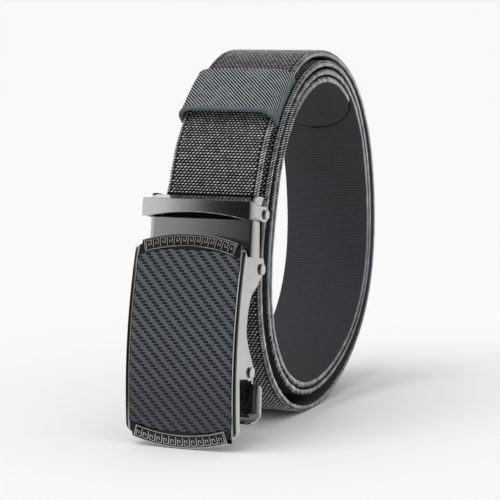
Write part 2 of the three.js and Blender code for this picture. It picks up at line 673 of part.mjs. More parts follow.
function releaseSolid() {
  const [pinY, pinZ] = RELEASE_PIN;
  const bore = PIN_RADIUS + GAP;
  const barrel = bore + BARREL_WALL;
  const half = sideInside - GAP;
  const plateBack = THUMB_BACK + SHEET;
  const foot = pinZ - THUMB_LENGTH;
  const bend = foot + THUMB_LIP;
  const side = new THREE.Shape();
  side.moveTo(pinY, pinZ + barrel);
  side.lineTo(pinY + barrel, pinZ + barrel);
  side.lineTo(plateBack, pinZ - barrel);
  side.lineTo(plateBack, bend);
  side.absarc(plateBack - THUMB_LIP, bend, THUMB_LIP, 0, radians(-90), true);
  side.lineTo(plateBack - THUMB_LIP, foot + SHEET);
  side.absarc(plateBack - THUMB_LIP, bend, THUMB_LIP - SHEET, radians(-90), 0);
  side.lineTo(THUMB_BACK, pinZ - barrel);
  side.lineTo(pinY, pinZ - barrel);
  const front = new THREE.Shape();
  const earFoot = pinZ - LOWER_EAR - THUMB_EAR_GAP;
  const tab = halfCover + THUMB_SIDE;
  front.moveTo(-half, pinZ + 2 * barrel);
  front.lineTo(-half, foot - PAST + THUMB_CORNER);
  front.lineTo(-half + THUMB_CORNER, foot - PAST);
  front.lineTo(tab - THUMB_CORNER, foot - PAST);
  front.absarc(tab - THUMB_CORNER, foot + THUMB_CORNER, THUMB_CORNER, -Math.PI / 2, 0);
  front.absarc(tab - THUMB_CORNER / 2, earFoot - THUMB_CORNER / 2, THUMB_CORNER / 2, 0, Math.PI / 2);
  front.lineTo(half, earFoot);
  front.lineTo(half, pinZ + 2 * barrel);
  const plate = across(side, -half, tab);
  const sleeve = rod(barrel, -half, half, pinY, pinZ);
  const shaped = plate.add(sleeve).intersect(through(front, -COVER_FRONT, COVER_FRONT));
  return shaped.subtract(rod(bore, -halfCover, halfCover, pinY, pinZ));
}

// Assembly

const belt = new THREE.Group();
belt.add(toMesh("strap", strapSolid(), WEBBING), toMesh("keeper_loop", keeperSolid(), LOOP_WEBBING), buckle);
buckle.add(
  toMesh("cover", coverSolid(), GUNMETAL),
  toMesh("inlay_panel", inlaySolid(), INLAY),
  toMesh("clamp_frame", frameSolid(), GUNMETAL),
  toMesh("clamp_lever", leverSolid(), GUNMETAL),
  toMesh("clamp_rivet_left", rivetSolid(-1), STEEL),
  toMesh("clamp_rivet_right", rivetSolid(1), STEEL),
  toMesh("hinge_pin", pinSolid(halfCover + EAR_JOG, 0, 0), STEEL),
  toMesh("release_pin", pinSolid(halfCover, ...RELEASE_PIN), STEEL),
  toMesh("release_lever", releaseSolid(), GUNMETAL),
);

// Lean of the whole belt at which the coil and the cover's foot stand on one floor
function standingLean() {
  const lowest = (object, lean) => {
    belt.rotation.x = lean;
    belt.updateMatrixWorld(true);
    return new THREE.Box3().setFromObject(object, true).min.z;
  };
  const [strap] = belt.children;
  const [cover] = buckle.children;
  let low = -radians(MOST_LEAN);
  let high = radians(MOST_LEAN);
  for (let i = 0; i < LEAN_TRIES; i += 1) {
    const middle = (low + high) / 2;
    if (lowest(cover, middle) > lowest(strap, middle)) {
      low = middle;
    } else {
      high = middle;
    }
  }
  return (low + high) / 2;
}

belt.rotation.x = standingLean();
const part = new THREE.Group();
part.add(belt);
part.updateMatrixWorld(true);
const bounds = new THREE.Box3().setFromObject(belt, true);
belt.position.set(0, -(bounds.min.y + bounds.max.y) / 2, -bounds.min.z);
part.updateMatrixWorld(true);

export default part;
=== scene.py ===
"""A ratchet belt, rolled into a loose upright coil and standing on its coil and its buckle.

Sizes are in millimetres until a mesh is made. +Z is up, the strap's width runs along X and
the buckle faces -Y.
"""

import json
import logging
import math
from dataclasses import dataclass
from enum import Enum
from typing import Callable, Sequence

import bmesh
import bpy
import numpy as np
from mathutils import Matrix, Vector


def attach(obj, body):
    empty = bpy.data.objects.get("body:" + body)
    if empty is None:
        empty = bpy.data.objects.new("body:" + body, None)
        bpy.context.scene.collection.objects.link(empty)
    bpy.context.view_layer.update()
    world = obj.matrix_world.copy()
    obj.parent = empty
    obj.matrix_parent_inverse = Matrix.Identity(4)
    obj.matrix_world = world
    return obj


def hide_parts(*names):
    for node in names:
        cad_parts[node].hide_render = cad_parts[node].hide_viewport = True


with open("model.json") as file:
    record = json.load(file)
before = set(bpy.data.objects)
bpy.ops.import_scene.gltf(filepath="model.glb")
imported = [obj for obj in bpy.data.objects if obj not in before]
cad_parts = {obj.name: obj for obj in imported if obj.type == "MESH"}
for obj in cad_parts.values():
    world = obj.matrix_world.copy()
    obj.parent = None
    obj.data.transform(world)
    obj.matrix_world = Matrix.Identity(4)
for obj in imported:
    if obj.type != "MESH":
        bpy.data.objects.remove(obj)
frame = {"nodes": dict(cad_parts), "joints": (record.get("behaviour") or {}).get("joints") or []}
log = logging.getLogger("belt")

MM = 0.001

Socket = bpy.types.NodeSocket
Shade = tuple[float, float, float]


class Slot(Enum):
    """The record's material slots."""

    STRAP = "strap_webbing"
    KEEPER = "keeper_webbing"
    GUNMETAL = "gunmetal"
    STEEL = "steel"
    FIBRE = "woven_fibre"


class Body(Enum):
    """The bodies that pieces ride on."""

    BELT = "belt"
    LEVER = "lever"
    PLATE = "plate"
    RELEASE = "release"


def linear(level: float) -> float:
    """Linear light of a display level from 0 to 255."""
    share = level / 255
    return share / 12.92 if share <= 0.04045 else ((share + 0.055) / 1.055) ** 2.4


def shade(red: float, green: float, blue: float) -> Shade:
    """Linear colour of three display levels from 0 to 255."""
    return (linear(red), linear(green), linear(blue))


class Wiring:
    """Adds nodes to one tree and joins values and sockets to their inputs."""

    def __init__(self, tree: bpy.types.NodeTree) -> None:
        """Keeps the tree that the nodes go in."""
        self.tree = tree

    def node(self, kind: str, inputs: dict | None = None, **settings) -> bpy.types.Node:
        """Adds a node.

        Args:
            kind: the node's type name.
            inputs: value or socket for each input, by the input's name or number.
            settings: properties of the node.

        Returns:
            The new node.
        """
        made = self.tree.nodes.new(kind)
        for name, value in settings.items():
            setattr(made, name, value)
        for key, value in (inputs or {}).items():
            self.join(made.inputs[key], value)
        return made

    def join(self, target: Socket, value: object) -> None:
        """Sets an input to a value, or links a socket to it."""
        if isinstance(value, bpy.types.NodeSocket):
            self.tree.links.new(value, target)
        else:
            target.default_value = value

    def math(self, operation: str, *values: object) -> Socket:
        """Result of one Math node on the values."""
        return self.node("ShaderNodeMath", dict(enumerate(values)), operation=operation).outputs[0]

    def vector(self, operation: str, *values: object) -> Socket:
        """Result of one Vector Math node on the values."""
        made = self.node("ShaderNodeVectorMath", operation=operation)
        slots = [made.inputs[0], made.inputs[3]] if operation == "SCALE" else made.inputs
        for target, value in zip(slots, values):
            self.join(target, value)
        return made.outputs["Value" if operation == "LENGTH" else "Vector"]

    def step(self, value: Socket, low: float, high: float) -> Socket:
        """0 below low, 1 above high, and a smooth rise between them."""
        inputs = {"Value": value, "From Min": low, "From Max": high}
        return self.node("ShaderNodeMapRange", inputs, interpolation_type="SMOOTHSTEP").outputs[0]

    def ramp(self, value: Socket, stops: Sequence[tuple[float, Shade]]) -> Socket:
        """Colour ramp through stops of (position, colour)."""
        made = self.node("ShaderNodeValToRGB", {0: value})
        elements = made.color_ramp.elements
        while len(elements) < len(stops):
            elements.new(1.0)
        for element, (place, colour) in zip(elements, stops):
            element.position = place
            element.color = (*colour, 1)
        return made.outputs[0]

    def mix(self, share: object, first: object, second: object) -> Socket:
        """Colour between first and second."""
        inputs = {0: share}
        for key, colour in ((6, first), (7, second)):
            inputs[key] = colour if isinstance(colour, bpy.types.NodeSocket) else (*colour, 1)
        return self.node("ShaderNodeMix", inputs, data_type="RGBA").outputs[2]

    def noise(self, place: Socket, scale: float, detail: float = 2.0) -> Socket:
        """Noise of the given scale."""
        inputs = {"Vector": place, "Scale": scale, "Detail": detail}
        return self.node("ShaderNodeTexNoise", inputs).outputs[0]

    def times(self, first: object, second: object) -> Socket:
        """Product of two values."""
        return self.math("MULTIPLY", first, second)

    def fall(self, value: Socket, low: float, high: float) -> Socket:
        """1 below low, 0 above high, and a smooth fall between them."""
        return self.math("SUBTRACT", 1.0, self.step(value, low, high))

    def split(self, vector: Socket) -> Sequence[Socket]:
        """X, y and z of a vector."""
        return self.node("ShaderNodeSeparateXYZ", {0: vector}).outputs

    def stretch(self, place: Socket, scale: tuple[float, float, float]) -> Socket:
        """A place scaled along each axis."""
        return self.node("ShaderNodeMapping", {"Vector": place, "Scale": scale}).outputs[0]

    def place(self) -> Socket:
        """The shaded point in its piece's own axes, in metres."""
        return self.node("ShaderNodeTexCoord").outputs["Object"]

    def weave(self) -> Socket:
        """The shaded point in its piece's weave."""
        return self.node("ShaderNodeUVMap", uv_map="weave").outputs[0]

    def attribute(self, name: str) -> Socket:
        """The number that the piece's points keep under a name."""
        return self.node("ShaderNodeAttribute", attribute_name=name).outputs["Fac"]

    def bump(self, height: Socket, distance: float, strength: float) -> Socket:
        """Normal of a surface that the height raises by up to a distance in metres."""
        inputs = {"Height": height, "Distance": distance, "Strength": strength}
        return self.node("ShaderNodeBump", inputs).outputs[0]

    def principled(self, colour: object, roughness: object, more: dict) -> Socket:
        """Shader of a colour, a roughness and more of the Principled node's inputs."""
        inputs = {"Base Color": colour, "Roughness": roughness, **more}
        return self.node("ShaderNodeBsdfPrincipled", inputs).outputs[0]


class Finish:
    """A procedural material, made once and shared by the pieces that have it."""

    name: str

    def material(self) -> bpy.types.Material:
        """The finish's material, made on the first call."""
        made = bpy.data.materials.get(self.name)
        if made is None:
            made = bpy.data.materials.new(self.name)
            made.use_nodes = True
            made.node_tree.nodes.clear()
            wiring = Wiring(made.node_tree)
            surface = self.surface(wiring)
            wiring.node("ShaderNodeOutputMaterial", {"Surface": surface})
        return made

    def surface(self, wiring: Wiring) -> Socket:
        """Wires the finish's shader and returns it."""
        raise NotImplementedError


@dataclass(frozen=True)
class Webbing(Finish):
    """Black webbing with rows of short light floats, read from the strap's own UV map.

    One step of U is the strap's width and one step of V is a row of the weave.
    """

    name: str = "Strap webbing"
    columns: int = 24
    slope: float = 0.42
    thread: Shade = shade(58, 58, 61)
    ground: Shade = shade(10, 10, 11)
    inner_thread: Shade = shade(77, 76, 81)
    inner_ground: Shade = shade(58, 57, 61)

    def surface(self, wiring: Wiring) -> Socket:
        """Wires the weave of both faces, the outer one in higher contrast."""
        across, row = wiring.split(wiring.weave())[:2]
        odd = wiring.math("MODULO", wiring.math("FLOOR", row), 2.0)
        column = wiring.math("ADD", wiring.times(across, self.columns), wiring.times(odd, 0.5))
        over = wiring.math("SUBTRACT", wiring.math("FRACT", column), 0.5)
        up = wiring.math("SUBTRACT", wiring.math("FRACT", row), 0.5)
        tilted = wiring.math("SUBTRACT", up, wiring.times(over, self.slope))
        near = wiring.fall(wiring.math("ABSOLUTE", tilted), 0.16, 0.4)
        floats = wiring.times(near, wiring.fall(wiring.math("ABSOLUTE", over), 0.3, 0.5))
        outer = wiring.mix(floats, self.ground, self.thread)
        ribs = wiring.step(wiring.math("ABSOLUTE", up), 0.1, 0.45)
        lined = wiring.math("ADD", wiring.times(ribs, 0.7), wiring.times(floats, 0.3))
        inner = wiring.mix(lined, self.inner_ground, self.inner_thread)
        woven = wiring.mix(wiring.attribute("outside"), inner, outer)
        wear_and_top_shade = wiring.noise(wiring.place(), 900.0)
        shaded = wiring.mix(wiring.times(wear_and_top_shade, 0.35), woven, self.ground)
        # Where side is set the webbing is plain black ground: its own black on the edges, and painted shade
        # in the clamp and round the tip.
        side = wiring.step(wiring.attribute("side"), 0.2, 0.8)
        more = {"Normal": wiring.bump(floats, 0.00012, 0.8), "Specular IOR Level": 0.25}
        return wiring.principled(wiring.mix(side, shaded, self.ground), 0.82, more)


@dataclass(frozen=True)
class Yarn(Finish):
    """The light twisted yarn of the strap's floats and edges.

    Between the two heights of crest, in metres, a painted shade on the coil's top darkens it toward a duller
    colour by up to a share.
    """

    name: str = "Light yarn"
    pale: Shade = shade(236, 236, 238)
    dark: Shade = shade(158, 158, 162)
    top_shade_colour: Shade = shade(118, 118, 122)
    top_shade_share: float = 0.55
    crest: tuple[float, float] = (0.112, 0.132)

    def surface(self, wiring: Wiring) -> Socket:
        """Wires a yarn whose tone and surface vary from float to float."""
        place = wiring.place()
        tone = wiring.noise(place, 420.0, 3.0)
        twist = wiring.noise(place, 5200.0, 1.0)
        fresh = wiring.mix(wiring.step(tone, 0.3, 0.7), self.dark, self.pale)
        # Painted shade: the floats on the coil's top are darkened where the light from above falls brightest.
        wear_and_top_shade = wiring.times(wiring.step(wiring.split(place)[2], *self.crest), self.top_shade_share)
        more = {"Normal": wiring.bump(twist, 0.00005, 0.5), "Sheen Weight": 0.15}
        return wiring.principled(wiring.mix(wear_and_top_shade, fresh, self.top_shade_colour), 0.7, more)


@dataclass(frozen=True)
class TwillCloth(Finish):
    """Grey-blue diagonal twill with a plain rolled hem, read from the keeper's own attributes."""

    name: str = "Keeper twill"
    rib: Shade = shade(182, 188, 193)
    groove: Shade = shade(15, 18, 21)
    hem: Shade = shade(88, 96, 103)

    def surface(self, wiring: Wiring) -> Socket:
        """Wires ribs by the height of the twill, and the hem's finer cloth."""
        place = wiring.place()
        fibre = wiring.noise(place, 3500.0)
        patch = wiring.noise(place, 300.0)
        ribs = wiring.mix(wiring.step(wiring.attribute("rib"), 0.55, 1.0), self.groove, self.rib)
        tone = wiring.mix(wiring.attribute("hem"), ribs, self.hem)
        colour = wiring.mix(wiring.times(wiring.step(fibre, 0.35, 0.75), 0.25), tone, self.groove)
        faded = wiring.mix(wiring.times(wiring.step(patch, 0.4, 0.7), 0.08), colour, self.rib)
        more = {"Normal": wiring.bump(fibre, 0.00005, 0.3), "Specular IOR Level": 0.2}
        return wiring.principled(faded, 0.9, more)


@dataclass(frozen=True)
class Plating(Finish):
    """Polished plating over cast or pressed metal, with fine brushing and soft blotches."""

    name: str
    tone: Shade
    deep: Shade
    roughness: float
    brushing: float = 0.03

    def surface(self, wiring: Wiring) -> Socket:
        """Wires the metal's colour and its uneven gloss."""
        place = wiring.place()
        blotch = wiring.noise(place, 60.0)
        brush = wiring.noise(wiring.stretch(place, (60.0, 2600.0, 2600.0)), 1.0)
        plated = wiring.mix(wiring.step(blotch, 0.3, 0.7), self.deep, self.tone)
        spread = wiring.times(wiring.math("SUBTRACT", brush, 0.5), self.brushing)
        rough = wiring.math("ADD", spread, self.roughness)
        return wiring.principled(self.aged(wiring, place, plated), rough, {"Metallic": 1.0})

    def aged(self, wiring: Wiring, place: Socket, plated: Socket) -> Socket:
        """The plating's colour, which a finish with darkened hollows changes."""
        return plated


@dataclass(frozen=True)
class DarkenedPlating(Plating):
    """Plating whose hollows below a curved face are blackened, as round a raised border.

    axis is the y and z of the centre of the face's curve, in metres, and radius is the face's.
    lit is where the rim beside the panel stays bright, from the middle, in metres.
    """

    axis: tuple[float, float] = (0.0, 0.0)
    radius: float = 0.1
    lit: tuple[float, float] = (0.0195, 0.0202)
    black: Shade = shade(58, 58, 59)
    wear_and_top_shade: Shade = shade(186, 185, 184)

    def aged(self, wiring: Wiring, place: Socket, plated: Socket) -> Socket:
        """Blackens what lies just at or below the face."""
        axis = wiring.node("ShaderNodeCombineXYZ", {1: self.axis[0], 2: self.axis[1]}).outputs[0]
        flat = wiring.vector("MULTIPLY", place, (0.0, 1.0, 1.0))
        reach = wiring.vector("LENGTH", wiring.vector("SUBTRACT", flat, axis))
        above = wiring.math("DIVIDE", wiring.math("SUBTRACT", reach, self.radius), MM)
        hollow = wiring.times(wiring.fall(above, 0.1, 0.3), wiring.step(above, -1.3, -1.1))
        wide = wiring.math("ABSOLUTE", wiring.split(place)[0])
        past = wiring.math("GREATER_THAN", wide, self.lit[1])
        inside = wiring.math("LESS_THAN", wide, self.lit[0])
        shut = wiring.math("MAXIMUM", past, inside)
        raised = wiring.mix(wiring.math("GREATER_THAN", above, 0.2), plated, self.wear_and_top_shade)
        return wiring.mix(wiring.times(hollow, shut), raised, self.black)


@dataclass(frozen=True)
class FibrePanel(Finish):
    """Grey twill fibre under a thin lacquer, woven by the panel's own UV map.

    One step of U is the repeat of the dark tows and one step of V is a row of them. Each row is
    shifted along from the one above, and a painted shade darkens the lower half of the rows downward.
    """

    name: str = "Fibre panel"
    light: Shade = shade(84, 89, 93)
    dark: Shade = shade(13, 15, 17)
    shift: float = 0.25
    rows: float = 60.0

    def surface(self, wiring: Wiring) -> Socket:
        """Wires the tows, their fine strands and the lacquer."""
        place = wiring.weave()
        across, row = wiring.split(place)[:2]
        moved = wiring.math("SUBTRACT", across, wiring.times(wiring.math("FLOOR", row), self.shift))
        along = wiring.math("SUBTRACT", wiring.math("FRACT", moved), 0.5)
        up = wiring.math("SUBTRACT", wiring.math("FRACT", row), 0.5)
        within = wiring.fall(wiring.math("ABSOLUTE", along), 0.19, 0.28)
        tow = wiring.times(within, wiring.fall(wiring.math("ABSOLUTE", up), 0.3, 0.46))
        fine = wiring.step(wiring.noise(wiring.stretch(place, (16.0, 0.5, 1.0)), 1.0), 0.3, 0.7)
        woven = wiring.mix(tow, self.light, self.dark)
        grained = wiring.mix(wiring.times(fine, 0.3), woven, self.dark)
        # Painted shade: the lower half of the rows is darkened downward.
        low = wiring.times(wiring.step(row, self.rows * 0.5, self.rows), 0.3)
        more = {"Coat Weight": 0.15, "Coat Roughness": 0.2, "Specular IOR Level": 0.3}
        more["Normal"] = wiring.bump(tow, 0.00006, 0.5)
        return wiring.principled(wiring.mix(low, grained, self.dark), 0.55, more)


@dataclass(frozen=True)
class StudioFloor(Finish):
    """The pale floor that the belt stands on."""

    name: str = "Studio floor"
    pale: Shade = (0.83, 0.83, 0.83)

    def surface(self, wiring: Wiring) -> Socket:
        """Wires a plain matt floor."""
        return wiring.principled((*self.pale, 1), 0.9, {"Specular IOR Level": 0.1})


WEBBING = Webbing()
YARN = Yarn()
# The edge loops' yarn, with a lighter painted shade on the coil's top.
EDGE_YARN = Yarn("Edge yarn", shade(232, 232, 234), shade(172, 172, 176), shade(180, 180, 184), 0.5)
TWILL = TwillCloth()
GUNMETAL = Plating("Gunmetal plating", shade(198, 197, 196), shade(190, 189, 188), 0.11)
STEEL = Plating("Steel pins", shade(214, 213, 210), shade(196, 195, 193), 0.22)
FIBRE = FibrePanel()


def add_object(name: str, data: bpy.types.ID) -> bpy.types.Object:
    """Makes an object of the data and puts it in the scene."""
    made = bpy.data.objects.new(name, data)
    bpy.context.scene.collection.objects.link(made)
    return made


def new_piece(
    name: str, points: np.ndarray, faces: Sequence[Sequence[int]], finish: Finish,
) -> bpy.types.Object:
    """Makes a smooth mesh piece from points in millimetres.

    Args:
        name: the piece's name.
        points: one row of x, y and z for each point.
        faces: point numbers of each face, counter-clockwise from outside.
        finish: the piece's finish.

    Returns:
        The new object, at the origin.
    """
    mesh = bpy.data.meshes.new(name)
    mesh.from_pydata((points * MM).tolist(), [], [list(map(int, face)) for face in faces])
    mesh.validate()
    mesh.shade_smooth()
    mesh.materials.append(finish.material())
    return add_object(name, mesh)


def settle(piece: bpy.types.Object, body: Body, slot: Slot, *nodes: str) -> None:
    """Puts a finished piece on its body and hides the CAD nodes that it stands for."""
    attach(piece, body.value)
    if nodes:
        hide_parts(*nodes)
    triangles = sum(len(polygon.vertices) - 2 for polygon in piece.data.polygons)
    log.info("%s on %s: %d triangles", piece.name, body.value, triangles)


def add_attribute(piece: bpy.types.Object, name: str, values: np.ndarray) -> None:
    """Keeps one number for each point of a piece under a name."""
    attribute = piece.data.attributes.new(name, "FLOAT", "POINT")
    attribute.data.foreach_set("value", np.asarray(values, dtype=np.float32).ravel())


def add_weave(piece: bpy.types.Object, across: np.ndarray, row: np.ndarray) -> None:
    """Keeps the place across a weave and the row of it, for each point, as a UV map."""
    layer = piece.data.uv_layers.new(name="weave")
    corners = np.zeros(len(piece.data.loops), dtype=np.int32)
    piece.data.loops.foreach_get("vertex_index", corners)
    places = np.stack([np.ravel(across)[corners], np.ravel(row)[corners]], axis=1)
    layer.data.foreach_set("uv", places.astype(np.float32).ravel())


def tube_faces(rings: int, around: int, closed: bool = False) -> list[tuple[int, int, int, int]]:
    """Faces between rings of points that each run round a section.

    Args:
        rings: how many rings there are.
        around: how many points each ring has.
        closed: whether the last ring joins the first.

    Returns:
        One face for each step round each pair of rings.
    """
    faces = []
    for ring in range(rings if closed else rings - 1):
        here, there = ring * around, ((ring + 1) % rings) * around
        for edge in range(around):
            beside = (edge + 1) % around
            faces.append((here + edge, here + beside, there + beside, there + edge))
    return faces


@dataclass
class Stand:
    """Where the rolled belt stands, found from the frame's two buckle joints.

    The belt's own axes are level, with their origin at the coil's centre. The buckle's own
    axes have their origin at its hinge, -Y to the front and +Z along the buckle.
    """

    buckle_lean: float = 10.3
    release_pin: tuple[float, float] = (-2.5, -36.3)

    def __post_init__(self) -> None:
        """Reads the two joints and works out the buckle's whole lean."""
        places = {joint["name"]: np.array(joint["pos_m"][1:]) / MM for joint in frame["joints"]}
        self.hinge = places["cover_hinge"]
        axis = places["release_hinge"] - self.hinge
        drawn = self.release_pin
        self.whole_lean = math.atan2(drawn[1], drawn[0]) - math.atan2(axis[1], axis[0])
        self.belt_lean = math.radians(self.buckle_lean) - self.whole_lean

    def from_buckle(self, points: np.ndarray) -> np.ndarray:
        """Turns points in the buckle's axes into the frame's."""
        points = np.asarray(points, dtype=float)
        cos, sin = math.cos(self.whole_lean), math.sin(self.whole_lean)
        y = points[..., 1] * cos + points[..., 2] * sin + self.hinge[0]
        z = -points[..., 1] * sin + points[..., 2] * cos + self.hinge[1]
        return np.stack([points[..., 0], y, z], axis=-1)

    def to_buckle(self, points: np.ndarray) -> np.ndarray:
        """Turns points in the frame into the buckle's axes."""
        cos, sin = math.cos(self.whole_lean), math.sin(self.whole_lean)
        y, z = points[..., 1] - self.hinge[0], points[..., 2] - self.hinge[1]
        return np.stack([points[..., 0], y * cos - z * sin, y * sin + z * cos], axis=-1)


@dataclass(frozen=True)
class Bend:
    """A shallow form pressed into a face, drawn in the buckle's own axes.

    Points that lie before a depth and under a height move back by rise at the bend's middle, and
    by nothing from half its width away. A curl moves only what lies to the +X side, and by the
    whole rise from half its width away. corner rounds the outline at both ends of a bar that
    reaches from low to high. What is bowed clear before the depth is the piece's front.
    """

    stand: Stand
    middle: float
    width: float
    rise: float
    before: float
    under: float = 1000
    curl: bool = False
    corner: float = 0
    low: float = 0
    high: float = 1
    fade: float = 2.5
    clear: float = 0.6
    step: float = 1.5

    def cuts(self) -> np.ndarray:
        """X of the cuts across the piece that let it bend."""
        half = self.width / 2
        cuts = self.middle + np.arange(0 if self.curl else -half, half + self.step / 2, self.step)
        steps = np.linspace(0.08, 1, 6) * self.corner
        ends = [self.middle + side * (half - step) for side in (-1, 1) for step in steps if self.corner]
        return np.concatenate([cuts, ends])

    def front(self, place: Vector) -> bool:
        """Whether a place in the frame, once bowed, lies clear before the depth."""
        x, y, _ = self.stand.to_buckle(np.array(place) / MM)
        share = min(abs(x - self.middle) / (self.width / 2), 1)
        return y - self.rise * (1 - share**2) < self.before - self.clear

    def shift(self, points: np.ndarray) -> np.ndarray:
        """How far points in the frame move, in millimetres."""
        local = self.stand.to_buckle(points)
        side = local[:, 0] - self.middle
        share = np.clip(np.where(side < 0, 0, side) if self.curl else np.abs(side), 0, self.width / 2)
        share /= self.width / 2
        held = np.clip((self.before + self.fade - local[:, 1]) / self.fade, 0, 1)
        held *= np.clip((self.under + self.fade - local[:, 2]) / self.fade, 0, 1)
        moved = local.copy()
        moved[:, 1] += self.rise * (share**2 if self.curl else 1 - share**2) * held
        past = np.clip(np.abs(side) - self.width / 2 + self.corner, 0, self.corner)
        lost = self.corner - np.sqrt(self.corner**2 - past**2)
        middle, half = (self.low + self.high) / 2, (self.high - self.low) / 2
        moved[:, 2] -= lost * held * np.clip((local[:, 2] - middle) / half, -1.2, 1.2)
        return self.stand.from_buckle(moved) - points


@dataclass
class CoilLine:
    """Centre line of the strap, from its cut end in the clamp to its tip inside the coil.

    bulges are the coil's waves: how many round a turn, their share of the radius and the angle
    of a crest. slack is how loose the outer turn is: turns from the clamp, and a share of
    stand_off.
    """

    stand: Stand
    thickness: float = 2.2
    radius: float = 63.5
    turns: float = 3.335
    start: float = 160.5
    pitch: float = 2.85
    stand_off: float = 9.6
    bulges: tuple = ((1, 0.03, -79), (2, 0.0755, 70), (3, 0.0254, -23), (4, 0.0154, -39))
    slack: tuple = (
        (0, 1), (0.12, 0.5), (0.25, 0.03), (0.4, 0.22), (0.58, 0.2), (0.72, 0.33), (0.92, 0.46),
        (1.1, 0.06), (1.35, 0),
    )
    clamp_mouth: tuple[float, float] = (4.4, 28)
    held: tuple[float, float, float] = (5, 9.5, 14)
    seat: float = -0.6
    points_per_turn: int = 24
    samples: int = 40

    def __post_init__(self) -> None:
        """Samples the smooth line and its length."""
        mouth = self.coil_points(np.array([0.0]))[0]
        self.hinge = mouth - self.turned(*self.clamp_mouth)
        cut = [self.hinge + self.turned(self.seat, height) for height in self.held]
        count = math.ceil(self.turns * self.points_per_turn)
        coil = self.coil_points(np.linspace(0, self.turns, count + 1))
        self.points = self.smooth(np.vstack([cut, coil]))
        steps = np.linalg.norm(np.diff(self.points, axis=0), axis=1)
        self.lengths = np.concatenate([[0], np.cumsum(steps)])
        self.length = float(self.lengths[-1])
        nearest = np.linalg.norm(self.points - mouth, axis=1).argmin()
        self.mouth = float(self.lengths[nearest])

    def turned(self, y: float, z: float) -> np.ndarray:
        """The buckle's y and z as a step in the belt's level axes."""
        lean = math.radians(self.stand.buckle_lean)
        cos, sin = math.cos(lean), math.sin(lean)
        return np.array([y * cos + z * sin, -y * sin + z * cos])

    def coil_points(self, turns: np.ndarray) -> np.ndarray:
        """Middle of the strap after so many turns, from the coil's centre."""
        angle = math.radians(self.start) - 2 * math.pi * turns
        swell = 1 + sum(
            share * np.cos(count * (angle - math.radians(crest))) for count, share, crest in self.bulges
        )
        out = self.radius * swell - self.pitch * turns + self.loose(turns) - self.thickness / 2
        return np.stack([out * np.cos(angle), out * np.sin(angle)], axis=-1)

    def loose(self, turns: np.ndarray) -> np.ndarray:
        """How far the outer turn stands off the coil after so many turns."""
        result = np.zeros_like(turns)
        for (begin, low), (end, high) in zip(self.slack, self.slack[1:]):
            share = (1 - np.cos(math.pi * (turns - begin) / (end - begin))) / 2
            off = self.stand_off * (low + (high - low) * share)
            result = np.where((turns >= begin) & (turns < end), off, result)
        return result

    def smooth(self, points: np.ndarray) -> np.ndarray:
        """Centripetal curve through the points."""
        padded = np.vstack([2 * points[0] - points[1], points, 2 * points[-1] - points[-2]])
        pieces = []
        for four in zip(padded, padded[1:], padded[2:], padded[3:]):
            gaps = [math.sqrt(np.linalg.norm(b - a)) for a, b in zip(four, four[1:])]
            knots = np.concatenate([[0], np.cumsum(gaps)])
            at = np.linspace(knots[1], knots[2], self.samples, endpoint=False)[:, None]
            level = list(four)
            for lows, highs in ((knots[:3], knots[1:]), (knots[:2], knots[2:]), (knots[1:2], knots[2:3])):
                level = [
                    ((high - at) * a + (at - low) * b) / (high - low)
                    for a, b, low, high in zip(level, level[1:], lows, highs)
                ]
            pieces.append(level[0])
        pieces.append(points[-1:])
        return np.vstack(pieces)

    def sample(self, at: np.ndarray) -> np.ndarray:
        """Points of the line in its own axes, at distances from the cut end."""
        return np.stack([np.interp(at, self.lengths, self.points[:, i]) for i in (0, 1)], axis=-1)

    def stations(self, at: np.ndarray) -> tuple[np.ndarray, np.ndarray, np.ndarray]:
        """Places along the strap in the frame.

        Args:
            at: distances from the cut end, in millimetres.

        Returns:
            Points, directions along the strap and directions out of the coil, each as y and z.
        """
        reach = 0.4
        point = self.sample(at)
        along = self.sample(at + reach) - self.sample(at - reach)
        along /= np.linalg.norm(along, axis=1)[:, None]
        cos, sin = math.cos(self.stand.belt_lean), math.sin(self.stand.belt_lean)
        turn = np.array([[cos, -sin], [sin, cos]])
        shift = self.stand.hinge - turn @ self.hinge
        point = point @ turn.T + shift
        along = along @ turn.T
        return point, along, np.stack([-along[:, 1], along[:, 0]], axis=-1)


